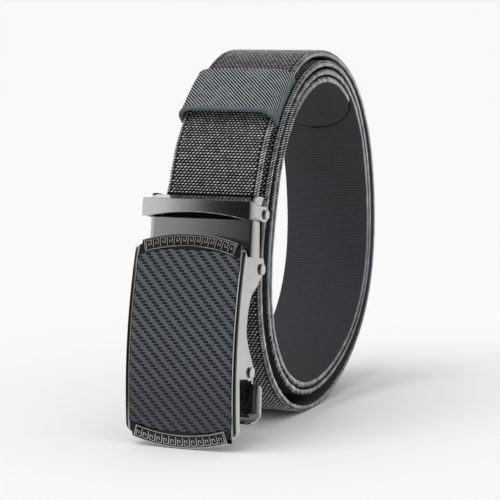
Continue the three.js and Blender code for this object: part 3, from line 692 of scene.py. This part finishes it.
@dataclass(frozen=True)
class ThreadRows:
    """Rows of short threads that lie on the strap, for a Geometry Nodes tree.

    lay is a thread's direction as shares across, along and out of the strap, and size is its
    rise, width and length. Alternate rows are shifted sideways by stagger.
    """

    name: str
    columns: int
    column_pitch: float
    rows: int
    row_pitch: float
    start: float
    height: float
    lay: tuple[float, float, float]
    size: tuple[float, float, float]
    stagger: float = 0.0
    offset: float = 0.0
    facets: tuple[int, int] = (4, 3)
    seed: int = 3

    def grow(self, path: bpy.types.Object, finish: Finish) -> bpy.types.Object:
        """Lays the threads along a path and makes them a plain mesh.

        Args:
            path: curve object of the strap's centre line.
            finish: finish of the threads.

        Returns:
            One mesh object with all the threads.
        """
        tree, sockets = self.tree()
        values = {
            "Columns": self.columns, "Column Pitch": self.column_pitch * MM, "Rows": self.rows,
            "Row Pitch": self.row_pitch * MM, "Start": self.start * MM, "Height": self.height * MM,
            "Lay": self.lay, "Size": tuple(size * MM / 2 for size in self.size), "Stagger": self.stagger * MM,
            "Offset": self.offset * MM, "Around": self.facets[0], "Lengthwise": self.facets[1],
            "Seed": self.seed, "Finish": finish.material(),
        }
        modifier = path.modifiers.new(self.name, "NODES")
        modifier.node_group = tree
        for name, value in values.items():
            modifier[sockets[name]] = value
        graph = bpy.context.evaluated_depsgraph_get()
        mesh = bpy.data.meshes.new_from_object(path.evaluated_get(graph), depsgraph=graph)
        path.modifiers.remove(modifier)
        mesh.name = self.name
        return add_object(self.name, mesh)

    @staticmethod
    def tree() -> tuple[bpy.types.NodeTree, dict[str, str]]:
        """The tree that lays threads, and the identifier of each named input."""
        name = "Threads along a strap"
        tree = bpy.data.node_groups.get(name)
        if tree is None:
            tree = bpy.data.node_groups.new(name, "GeometryNodeTree")
            ThreadRows.wire(tree)
        items = tree.interface.items_tree
        return tree, {item.name: item.identifier for item in items if item.in_out == "INPUT"}

    @staticmethod
    def wire(tree: bpy.types.NodeTree) -> None:
        """Wires the tree: a grid of seats along the path, and a thread on each seat."""
        kinds = {
            "Geometry": "Geometry", "Columns": "Int", "Column Pitch": "Float", "Rows": "Int",
            "Row Pitch": "Float", "Start": "Float", "Height": "Float", "Lay": "Vector",
            "Size": "Vector", "Stagger": "Float", "Offset": "Float", "Around": "Int",
            "Lengthwise": "Int", "Seed": "Int", "Finish": "Material",
        }
        for name, kind in kinds.items():
            tree.interface.new_socket(name=name, in_out="INPUT", socket_type=f"NodeSocket{kind}")
        tree.interface.new_socket(name="Geometry", in_out="OUTPUT", socket_type="NodeSocketGeometry")
        wiring = Wiring(tree)
        given = wiring.node("NodeGroupInput").outputs
        counts = {"Vertices X": given["Columns"], "Vertices Y": given["Rows"]}
        grid = wiring.node("GeometryNodeMeshGrid", counts)
        index = wiring.node("GeometryNodeInputIndex").outputs[0]
        column = wiring.math("FLOOR", wiring.math("DIVIDE", wiring.math("ADD", index, 0.5), given["Rows"]))
        row = wiring.math("SUBTRACT", index, wiring.times(column, given["Rows"]))
        length = wiring.math("ADD", given["Start"], wiring.times(row, given["Row Pitch"]))
        line = {"Curves": given["Geometry"], "Length": length}
        sample = wiring.node("GeometryNodeSampleCurve", line, mode="LENGTH")
        along = sample.outputs["Tangent"]
        across = wiring.node("ShaderNodeCombineXYZ", {0: 1.0}).outputs[0]
        out = wiring.vector("CROSS_PRODUCT", across, along)
        half = wiring.math("DIVIDE", wiring.math("SUBTRACT", given["Columns"], 1.0), 2.0)
        odd = wiring.math("SUBTRACT", wiring.math("MODULO", row, 2.0), 0.5)
        seat = wiring.times(wiring.math("SUBTRACT", column, half), given["Column Pitch"])
        moved = wiring.math("ADD", seat, given["Offset"])
        x = wiring.math("ADD", moved, wiring.times(odd, given["Stagger"]))
        sideways = wiring.node("ShaderNodeCombineXYZ", {0: x}).outputs[0]
        lifted = wiring.vector("SCALE", out, given["Height"])
        raised = wiring.vector("ADD", sample.outputs["Position"], lifted)
        place = {"Geometry": grid.outputs["Mesh"], "Position": wiring.vector("ADD", raised, sideways)}
        seats = wiring.node("GeometryNodeSetPosition", place)
        lay = wiring.split(given["Lay"])
        parts = [wiring.vector("SCALE", axis, share) for axis, share in zip((across, along, out), lay)]
        direction = wiring.vector("ADD", wiring.vector("ADD", parts[0], parts[1]), parts[2])
        turn = wiring.node(
            "FunctionNodeAxesToRotation", {"Primary Axis": direction, "Secondary Axis": out},
            primary_axis="Z", secondary_axis="X",
        )
        spread = {2: 0.88, 3: 1.1, "Seed": given["Seed"]}
        vary = wiring.node("FunctionNodeRandomValue", spread, data_type="FLOAT")
        facets = {"Segments": given["Around"], "Rings": given["Lengthwise"], "Radius": 1.0}
        bead = wiring.node("GeometryNodeMeshUVSphere", facets)
        smooth = wiring.node("GeometryNodeSetShadeSmooth", {"Geometry": bead.outputs["Mesh"]})
        threads = wiring.node("GeometryNodeInstanceOnPoints", {
            "Points": seats.outputs[0], "Instance": smooth.outputs[0], "Rotation": turn.outputs[0],
            "Scale": wiring.vector("SCALE", given["Size"], vary.outputs[1]),
        })
        real = wiring.node("GeometryNodeRealizeInstances", {"Geometry": threads.outputs[0]})
        coat = {"Geometry": real.outputs[0], "Material": given["Finish"]}
        dressed = wiring.node("GeometryNodeSetMaterial", coat)
        wiring.node("NodeGroupOutput", {"Geometry": dressed.outputs[0]})


@dataclass
class Strap:
    """The woven strap: a ribbed band, light floats on its outer turn and loops on its edges.

    section is the band's eight corners: the side, the share of the edge's inset, and the height
    as a share of half the thickness.
    """

    line: CoilLine
    width: float = 35
    tip: float = 15
    tip_rim: float = 1.3
    row_pitch: float = 1.07
    rings_per_row: int = 3
    rib: float = 0.07
    edge: float = 0.45
    float_columns: int = 22
    column_pitch: float = 1.44
    selvedge_width: float = 1.3
    outer_turn: float = 1.28
    section: tuple = (
        (-1, 1, 1), (1, 1, 1), (1, 0, 0.45), (1, 0, -0.45),
        (1, 1, -1), (-1, 1, -1), (-1, 0, -0.45), (-1, 0, 0.45),
    )

    def build(self) -> None:
        """Builds the band and its threads and puts them on the belt."""
        band = self.band()
        settle(band, Body.BELT, Slot.STRAP, "strap")
        path = self.path()
        plans = ((self.floats(), YARN), (self.selvedge(), YARN), (self.loops(), EDGE_YARN))
        pieces = [rows.grow(path, finish) for rows, finish in plans]
        bpy.data.objects.remove(path)
        for piece in pieces:
            settle(piece, Body.BELT, Slot.STRAP)

    def half_width(self, at: np.ndarray, inset: np.ndarray) -> np.ndarray:
        """Half the strap's width less an inset, which narrows over the rounded tip."""
        past = np.clip((at - (self.line.length - self.tip)) / (self.tip - inset), 0, 0.999)
        return np.maximum((self.width / 2 - inset) * np.sqrt(1 - past**2), 0.05)

    def band(self) -> bpy.types.Object:
        """The band itself, with a rib for each row of the weave."""
        line = self.line
        step = self.row_pitch / self.rings_per_row
        at = np.arange(0, line.length, step)
        point, _, out = line.stations(at)
        wave = self.rib * np.cos(2 * math.pi * at / self.row_pitch)
        # Round the tip the black edge widens and the last tip rim is black all over: the cut end's own black,
        # widened into a painted shadow line round the tip.
        tipped = np.clip((at - (line.length - self.tip)) / 2, 0, 1)
        inner = self.edge + (self.tip_rim - self.edge) * tipped
        tip_edge_and_shadow = at > line.length - self.tip_rim
        rings, across = [], []
        for sign, inset, level in self.section:
            x = sign * self.half_width(at, inner * inset)
            height = line.thickness / 2 * level + wave * (abs(level) == 1) * level
            spot = point + out * np.reshape(height, (-1, 1))
            rings.append(np.column_stack([x, spot]))
            across.append(x / self.width + 0.5)
        points = np.stack(rings, axis=1).reshape(-1, 3)
        count = len(self.section)
        faces = tube_faces(len(at), count)
        faces += [tuple(range(count))[::-1], tuple(range(len(points) - count, len(points)))]
        piece = new_piece("strap_band", points, faces, WEBBING)
        outside = [float(level > 0) for _, _, level in self.section]
        add_attribute(piece, "outside", np.tile(outside, len(at)))
        # Plain black ground on the edges is the webbing's own; on the part held in the clamp and round the
        # tip it is painted shade.
        held = at < line.mouth - 1.5 * self.row_pitch
        sides = [np.maximum(float(inset == 0), held | tip_edge_and_shadow) for _, inset, _ in self.section]
        add_attribute(piece, "side", np.stack(sides, axis=1))
        add_weave(piece, np.stack(across, axis=1), np.repeat(at / self.row_pitch, count))
        return piece

    def path(self) -> bpy.types.Object:
        """Curve of the strap's centre line, for the threads to follow."""
        at = np.arange(0, self.line.length, 1.0)
        point, _, _ = self.line.stations(at)
        curve = bpy.data.curves.new("strap path", "CURVE")
        curve.dimensions = "3D"
        spline = curve.splines.new("POLY")
        spline.points.add(len(at) - 1)
        rows = np.column_stack([np.zeros(len(at)), point * MM, np.ones(len(at))])
        spline.points.foreach_set("co", rows.astype(np.float32).ravel())
        return add_object("strap path", curve)

    def floats(self) -> ThreadRows:
        """Floats on the outer face of the outer turn."""
        start = self.line.mouth - 2 * self.row_pitch
        around = 2 * math.pi * self.line.radius * self.outer_turn
        return ThreadRows(
            name="strap_floats", columns=self.float_columns, column_pitch=self.column_pitch,
            rows=round(around / self.row_pitch), row_pitch=self.row_pitch, start=start,
            height=self.line.thickness / 2 + 0.02, lay=(0.9, 0.43, 0), size=(0.4, 0.5, 1.1),
            stagger=self.column_pitch / 2,
        )

    def selvedge(self) -> ThreadRows:
        """Slanted stitches down both sides of the outer face, up to the edge loops."""
        floats = self.floats()
        return ThreadRows(
            name="strap_selvedge", columns=2, column_pitch=self.width - self.selvedge_width,
            rows=floats.rows, row_pitch=self.row_pitch, start=floats.start,
            height=self.line.thickness / 2 - 0.02, lay=(0.66, 0.75, 0), size=(0.4, 0.52, 1.3), seed=5,
        )

    def loops(self) -> ThreadRows:
        """Slanted loops over both edges, one for each row of the weave."""
        rows = int((self.line.length - self.tip) / self.row_pitch)
        return ThreadRows(
            name="strap_edge_loops", columns=2, column_pitch=self.width - self.edge, rows=rows,
            row_pitch=self.row_pitch, start=0.5, height=0, lay=(0.12, 0.62, -0.7),
            size=(0.48, 0.9, 2.65), facets=(6, 5), seed=7,
        )


@dataclass
class Keeper:
    """The sewn band round the outer turn: diagonal twill between a rolled hem and a plain rim.

    The hem is at the lower rim. bulge is how far a rim swells, as a share of its hem, and tuck
    is how far its very edge turns in.
    """

    line: CoilLine
    strap_width: float = 35
    side_gap: float = 0.35
    back_gap: float = 0.3
    front_gap: float = 4.9
    top_gap: float = 2.0
    wall: float = 1.0
    start: float = 27
    length: float = 23
    corner: float = 5.4
    back_corner: float = 0.7
    arc_points: int = 19
    grain: float = 0.26
    rib_across: float = 1.39
    rib_along: float = 1.47
    rib_rise: float = 0.14
    hem: float = 1.5
    plain_rim: float = 0.6
    bulge: float = 0.3
    tuck: float = 0.25
    back_twill: float = 0.3

    def build(self) -> None:
        """Builds the band and puts it on the belt."""
        outer, inner, ribs, hems = self.walls()
        count = outer.shape[1]
        points = np.concatenate([outer, inner[::-1]]).reshape(-1, 3)
        rings = len(outer) + len(inner)
        piece = new_piece("keeper_band", points, tube_faces(rings, count, closed=True), TWILL)
        add_attribute(piece, "rib", np.concatenate([ribs, np.zeros((len(inner), count))]))
        add_attribute(piece, "hem", np.concatenate([hems, np.ones((len(inner), count))]))
        settle(piece, Body.BELT, Slot.KEEPER, "keeper_loop")

    def section(self, grow: float, gap: float, count: int) -> tuple[np.ndarray, float]:
        """Outline of the band's section.

        Args:
            grow: how far the outline lies outside the band's inner face.
            gap: height of the hollow over the strap's face.
            count: how many points the outline has.

        Returns:
            Evenly spaced points, as x and height above the strap's middle, and the whole length.
        """
        half = self.strap_width / 2 + self.side_gap + grow
        face = self.line.thickness / 2
        low = -face - self.back_gap - grow
        front, back = self.corner + grow, self.back_corner + grow
        corners = [
            (half - back, low + back, back, back, -90), (half - front, face, front, gap + grow, 0),
            (-half + front, face, front, gap + grow, 90), (-half + back, low + back, back, back, 180),
        ]
        outline = []
        for x, y, wide, high, begin in corners:
            for angle in np.radians(np.linspace(begin, begin + 90, self.arc_points)):
                outline.append((x + wide * math.cos(angle), y + high * math.sin(angle)))
        outline = np.array(outline + outline[:1])
        lengths = np.concatenate([[0], np.cumsum(np.linalg.norm(np.diff(outline, axis=0), axis=1))])
        at = np.linspace(0, lengths[-1], count, endpoint=False)
        places = np.stack([np.interp(at, lengths, outline[:, i]) for i in (0, 1)], axis=1)
        return places, lengths[-1]

    def walls(self) -> tuple[np.ndarray, np.ndarray, np.ndarray, np.ndarray]:
        """Points of the outer and the inner face, ring by ring, and the outer ribs and hem."""
        _, around = self.section(self.wall, self.front_gap, 8)
        count = round(around / self.grain)
        rings = round(self.length / self.grain)
        shares = np.linspace(0, 1, rings + 1)
        begin = self.line.mouth + self.start
        point, _, out = self.line.stations(begin + self.length * shares)
        faces, ribs, hems = [], [], []
        for i, share in enumerate(shares):
            gap = self.front_gap + (self.top_gap - self.front_gap) * share
            rim = min(share, 1 - share) * self.length
            hem = max(0.0, 1 - (share * self.length / self.hem) ** 4)
            place, around = self.section(self.wall, gap, count)
            wave, raised = self.twill(place, around, share * self.length)
            swell = self.rolled(rim, self.hem if share < 0.5 else self.plain_rim)
            rise = self.rib_rise * wave * raised * (1 - hem) + swell
            grown = place + self.normals(place) * rise[:, None]
            faces.append(self.lift(grown, point[i], out[i]))
            ribs.append(wave * raised)
            hems.append(np.clip(hem + 1 - raised, 0, 1))
        inner = []
        for i in np.linspace(0, rings, 7).round().astype(int):
            gap = self.front_gap + (self.top_gap - self.front_gap) * shares[i]
            inner.append(self.lift(self.section(0, gap, count)[0], point[i], out[i]))
        return np.array(faces), np.array(inner), np.array(ribs), np.array(hems)

    def rolled(self, rim: float, hem: float) -> float:
        """How far a hem bulges at a distance from the rim."""
        if rim >= hem:
            return 0.0
        middle = hem / 2
        swell = math.sqrt(max(0.0, 1 - ((rim - middle) / middle) ** 2))
        return self.bulge * hem * swell - self.tuck * (rim < 0.05)

    def twill(self, place: np.ndarray, around: float, along: float) -> tuple[np.ndarray, np.ndarray]:
        """Height of the ribs from 0 to 1, and how much the twill shows at each point."""
        distance = np.linspace(0, around, len(place), endpoint=False)
        phase = 2 * math.pi * (distance / self.rib_across - along / self.rib_along)
        wave = (1 + np.cos(phase)) / 2
        ahead = np.clip(place[:, 1] + self.line.thickness / 2, 0, 1)
        return wave, self.back_twill + (1 - self.back_twill) * ahead

    @staticmethod
    def normals(place: np.ndarray) -> np.ndarray:
        """Outward directions along a section."""
        step = np.roll(place, -1, axis=0) - np.roll(place, 1, axis=0)
        normal = np.stack([step[:, 1], -step[:, 0]], axis=1)
        return normal / np.linalg.norm(normal, axis=1)[:, None]

    @staticmethod
    def lift(place: np.ndarray, point: np.ndarray, out: np.ndarray) -> np.ndarray:
        """Section points as places in the frame."""
        return np.column_stack([place[:, 0], point + np.outer(place[:, 1], out)])


@dataclass
class PressedPiece:
    """A metal piece with the CAD solid's form, its edges rounded as plating leaves them.

    edge is the rounding's width. Where broad is given, it says which edges have the whole of
    it, and fine is the share that the others have. No rounding takes up more than the share
    room of the edges beside it.
    """

    node: str
    body: Body
    finish: Plating
    slot: Slot = Slot.GUNMETAL
    edge: float = 0.3
    bend: Bend | None = None
    broad: Callable[[Vector], bool] | None = None
    fine: float = 0.3
    sharp: float = 28.0
    room: float = 0.42

    def build(self) -> None:
        """Copies the solid, bends it, rounds its edges and puts it on its body."""
        mesh = frame["nodes"][self.node].data.copy()
        mesh.materials.clear()
        mesh.materials.append(self.finish.material())
        shell = bmesh.new()
        shell.from_mesh(mesh)
        bmesh.ops.remove_doubles(shell, verts=shell.verts, dist=2e-6)
        bmesh.ops.dissolve_limit(shell, angle_limit=math.radians(0.4), verts=shell.verts, edges=shell.edges)
        if self.bend:
            self.press(shell)
        self.weigh(shell)
        shell.to_mesh(mesh)
        shell.free()
        mesh.shade_smooth()
        mesh.name = self.node + "_plated"
        piece = add_object(mesh.name, mesh)
        bevel = piece.modifiers.new("rounded edges", "BEVEL")
        bevel.width = self.edge * MM
        bevel.segments = 3
        bevel.limit_method = "WEIGHT"
        bevel.use_clamp_overlap = False
        level = piece.modifiers.new("level faces", "WEIGHTED_NORMAL")
        level.weight = 100
        settle(piece, self.body, self.slot, self.node)

    def press(self, shell: bmesh.types.BMesh) -> None:
        """Cuts the piece across and moves its points by the bend."""
        for x in self.bend.cuts():
            geometry = shell.verts[:] + shell.edges[:] + shell.faces[:]
            bmesh.ops.bisect_plane(
                shell, geom=geometry, dist=1e-7, plane_co=(x * MM, 0, 0), plane_no=(1, 0, 0),
            )
        shell.verts.ensure_lookup_table()
        places = np.array([vertex.co for vertex in shell.verts]) / MM
        for vertex, shift in zip(shell.verts, self.bend.shift(places)):
            vertex.co += Vector(shift * MM)

    def weigh(self, shell: bmesh.types.BMesh) -> None:
        """Gives each sharp edge its share of the rounding, less where its neighbours are short."""
        layer = shell.edges.layers.float.new("bevel_weight_edge")
        for edge in shell.edges:
            if not edge.is_manifold or math.degrees(edge.calc_face_angle(0)) < self.sharp:
                continue
            middle = (edge.verts[0].co + edge.verts[1].co) / 2
            share = 1.0 if self.broad is None or self.broad(middle) else self.fine
            around = {other for vertex in edge.verts for other in vertex.link_edges} - {edge}
            short = min(other.calc_length() for other in around)
            edge[layer] = min(share, self.room * short / (self.edge * MM))


@dataclass
class CoverPanel:
    """The curved woven-fibre panel let into the cover."""

    stand: Stand
    width: float = 39.0
    grain: float = 0.6
    curve: float = 157
    front: float = 16.2
    middle: float = -26.25
    length: float = 66.5
    sink: float = 0.02
    thickness: float = 0.8
    round_width: float = 0.5
    round_drop: float = 0.25
    border_width: float = 36.4
    border_height: float = 4.5
    border_reach: float = 1.5
    border_rise: float = 2.8
    gap: float = 0.3
    tow_pitch: float = 4.17
    tow_row: float = 1.053

    def build(self) -> None:
        """Builds the panel and puts it on the cover's body."""
        columns = round(self.width / self.grain) + 1
        reach = self.half_length(np.zeros(1))[0] * 2
        rows = round(reach / self.grain) + 1
        x = np.linspace(-self.width / 2, self.width / 2, columns)
        across, share = np.meshgrid(x, np.linspace(-1, 1, rows))
        height = self.middle + share * self.half_length(across)
        rim = np.minimum(self.width / 2 - np.abs(across), (1 - np.abs(share)) * self.half_length(across))
        drop = self.sink + self.round_drop * np.clip(1 - rim / self.round_width, 0, 1) ** 2
        top = np.stack([across, self.front_at(height, drop), height], axis=-1)
        back = np.stack([across, self.front_at(height, self.sink + self.thickness), height], axis=-1)
        points = self.stand.from_buckle(np.concatenate([top.reshape(-1, 3), back.reshape(-1, 3)]))
        piece = new_piece("fibre_panel", points, self.faces(rows, columns), FIBRE)
        row = (self.middle + self.length / 2 - height) / self.tow_row
        add_weave(piece, np.tile(across.ravel() / self.tow_pitch, 2), np.tile(row.ravel(), 2))
        settle(piece, Body.PLATE, Slot.FIBRE, "inlay_panel")

    def beside(self, place: Vector) -> bool:
        """Whether a place in the frame lies on the cover's rim beside the panel."""
        return abs(abs(place.x) / MM - self.width / 2) < 0.25

    def border_plating(self) -> DarkenedPlating:
        """Gunmetal with blackened hollows just below the cover's curved front."""
        centre = self.stand.from_buckle(np.array([0, self.curve - self.front, self.middle])) * MM
        axis = (float(centre[1]), float(centre[2]))
        shades = (GUNMETAL.tone, GUNMETAL.deep, GUNMETAL.roughness)
        return DarkenedPlating("Cover plating", *shades, axis=axis, radius=self.curve * MM)

    def half_length(self, x: np.ndarray) -> np.ndarray:
        """Half the panel's length at a place across it, up to the borders' inner arcs."""
        half, rise = self.border_width / 2, self.border_rise
        radius = (half**2 + rise**2) / (2 * rise)
        crest = self.length / 2 + self.border_reach + rise
        inner = radius - self.border_height - self.gap
        return crest - radius + np.sqrt(inner**2 - x**2)

    def front_at(self, height: np.ndarray, drop: np.ndarray | float) -> np.ndarray:
        """Y of the panel's surface at a height, less a drop below the plate's front."""
        radius = self.curve - drop
        return self.curve - self.front - np.sqrt(radius**2 - (height - self.middle) ** 2)

    @staticmethod
    def faces(rows: int, columns: int) -> list[tuple[int, ...]]:
        """Faces of the front, the back and the rim of a sheet of points."""
        back = rows * columns
        faces = []
        for row in range(rows - 1):
            for column in range(columns - 1):
                a = row * columns + column
                faces.append((a, a + 1, a + columns + 1, a + columns))
                faces.append((back + a, back + a + columns, back + a + columns + 1, back + a + 1))
        rim = list(range(columns)) + [row * columns + columns - 1 for row in range(1, rows)]
        rim += [back - 1 - column for column in range(1, columns)]
        rim += [(rows - 1 - row) * columns for row in range(1, rows - 1)]
        for a, b in zip(rim, rim[1:] + rim[:1]):
            faces.append((b, a, back + a, back + b))
        return faces


@dataclass
class Studio:
    """The camera at the photograph's angle, a pale floor and soft light."""

    place: tuple[float, float, float] = (303.51, -721.17, 161.65)
    azimuth: float = 23.2
    down: float = 7.33
    roll: float = -0.39
    lens: float = 149.78
    floor_size: float = 30.0
    backdrop: float = 0.896

    def build(self) -> None:
        """Makes the camera, the floor and the light."""
        self.camera()
        self.floor()
        self.world()
        self.sun("key light", (-30, 58), 1.4, 50)
        self.sun("fill light", (60, 35), 0.25, 60)
        bpy.context.scene.view_settings.view_transform = "Standard"

    def camera(self) -> None:
        """Makes the camera and sets the scene to it."""
        roll = math.radians(self.roll)
        ahead = -self.direction(self.azimuth, self.down)
        right = Vector((ahead.y, -ahead.x, 0)).normalized()
        up = right.cross(ahead)
        turned = right * math.cos(roll) + up * math.sin(roll)
        raised = up * math.cos(roll) - right * math.sin(roll)
        data = bpy.data.cameras.new("camera")
        data.lens = self.lens
        data.clip_end = 100
        camera = add_object("camera", data)
        turn = Matrix((turned, raised, -ahead)).transposed().to_4x4()
        camera.matrix_world = Matrix.Translation(Vector(self.place) * MM) @ turn
        bpy.context.scene.camera = camera

    def floor(self) -> None:
        """Makes the floor, on no body of the belt."""
        half = self.floor_size / MM / 2
        corners = [(-half, -half, 0), (half, -half, 0), (half, half, 0), (-half, half, 0)]
        floor = new_piece("floor", np.array(corners), [(0, 1, 2, 3)], StudioFloor())
        floor.visible_glossy = False

    def sun(self, name: str, toward: tuple[float, float], strength: float, spread: float) -> None:
        """Makes a soft distant light, from an azimuth and an elevation in degrees."""
        data = bpy.data.lights.new(name, "SUN")
        data.energy = strength
        data.angle = math.radians(spread)
        light = add_object(name, data)
        light.visible_glossy = False
        light.rotation_euler = self.direction(*toward).to_track_quat("Z", "Y").to_euler()

    @staticmethod
    def direction(azimuth: float, elevation: float) -> Vector:
        """Direction at an azimuth from -Y toward +X and an elevation, both in degrees."""
        turn, lift = math.radians(azimuth), math.radians(elevation)
        level = math.cos(lift)
        return Vector((math.sin(turn) * level, -math.cos(turn) * level, math.sin(lift)))

    def world(self) -> None:
        """Lights the room evenly, with dark and bright cards for the metal to reflect."""
        world = bpy.data.worlds.new("studio")
        world.use_nodes = True
        world.node_tree.nodes.clear()
        bpy.context.scene.world = world
        wiring = Wiring(world.node_tree)
        ray = wiring.node("ShaderNodeLightPath").outputs
        toward = wiring.node("ShaderNodeTexCoord").outputs["Generated"]
        axis = wiring.split(toward)
        bearing = wiring.math("ARCTAN2", axis[0], wiring.times(axis[1], -1.0))
        share = wiring.math("ADD", wiring.math("DIVIDE", bearing, 2 * math.pi), 0.5)
        levels = (
            (-180, 0.9), (-60, 0.97), (-32, 0.95), (-28, 0.5), (-25.5, 0.3), (-22.5, 0.06),
            (-18, 0.02), (0, 0.02), (15, 0.1), (40, 0.4), (95, 0.85), (180, 0.9),
        )
        cards = wiring.ramp(share, [(angle / 360 + 0.5, (level,) * 3) for angle, level in levels])
        above = wiring.step(axis[2], 0.35, 0.65)
        below = wiring.step(wiring.times(axis[2], -1.0), 0.15, 0.4)
        room = wiring.mix(below, wiring.mix(above, cards, (0.26, 0.26, 0.26)), (0.75, 0.75, 0.75))
        pale = (self.backdrop,) * 3
        soft = wiring.mix(wiring.step(axis[2], -0.05, 0.5), (0.25, 0.25, 0.25), (0.78, 0.78, 0.78))
        seen = wiring.mix(ray["Is Glossy Ray"], soft, room)
        final = wiring.mix(ray["Is Camera Ray"], seen, pale)
        light = wiring.node("ShaderNodeBackground", {"Color": final, "Strength": 1.0})
        wiring.node("ShaderNodeOutputWorld", {"Surface": light.outputs[0]})


def main() -> None:
    """Builds the belt in order."""
    logging.basicConfig(level=logging.INFO, format="%(message)s")
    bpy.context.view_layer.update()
    stand = Stand()
    line = CoilLine(stand)
    log.info("strap %.1f mm long, mouth at %.1f", line.length, line.mouth)
    Strap(line).build()
    Keeper(line).build()
    panel = CoverPanel(stand)
    panel.build()
    plating = panel.border_plating()
    PressedPiece("cover", Body.PLATE, plating, edge=0.45, broad=panel.beside, fine=0.25).build()
    crown = Bend(stand, middle=0, width=40, rise=-0.15, before=-3.5)
    PressedPiece("clamp_frame", Body.BELT, GUNMETAL, edge=0.3, bend=crown).build()
    bow = Bend(stand, middle=0, width=43.8, rise=-0.9, before=-8, corner=1.8, low=17, high=23.5)
    PressedPiece(
        "clamp_lever", Body.LEVER, GUNMETAL, edge=0.62, bend=bow, broad=bow.front, fine=0.55,
    ).build()
    curl = Bend(stand, middle=17, width=11, rise=1.7, before=10, under=-43, curl=True, step=0.6)
    PressedPiece("release_lever", Body.RELEASE, GUNMETAL, edge=0.5, bend=curl).build()
    for node, body in (
        ("clamp_rivet_left", Body.BELT), ("clamp_rivet_right", Body.BELT),
        ("hinge_pin", Body.BELT), ("release_pin", Body.PLATE),
    ):
        PressedPiece(node, body, STEEL, Slot.STEEL, 0.2).build()
    Studio().build()


if __name__ == "__main__":
    main()
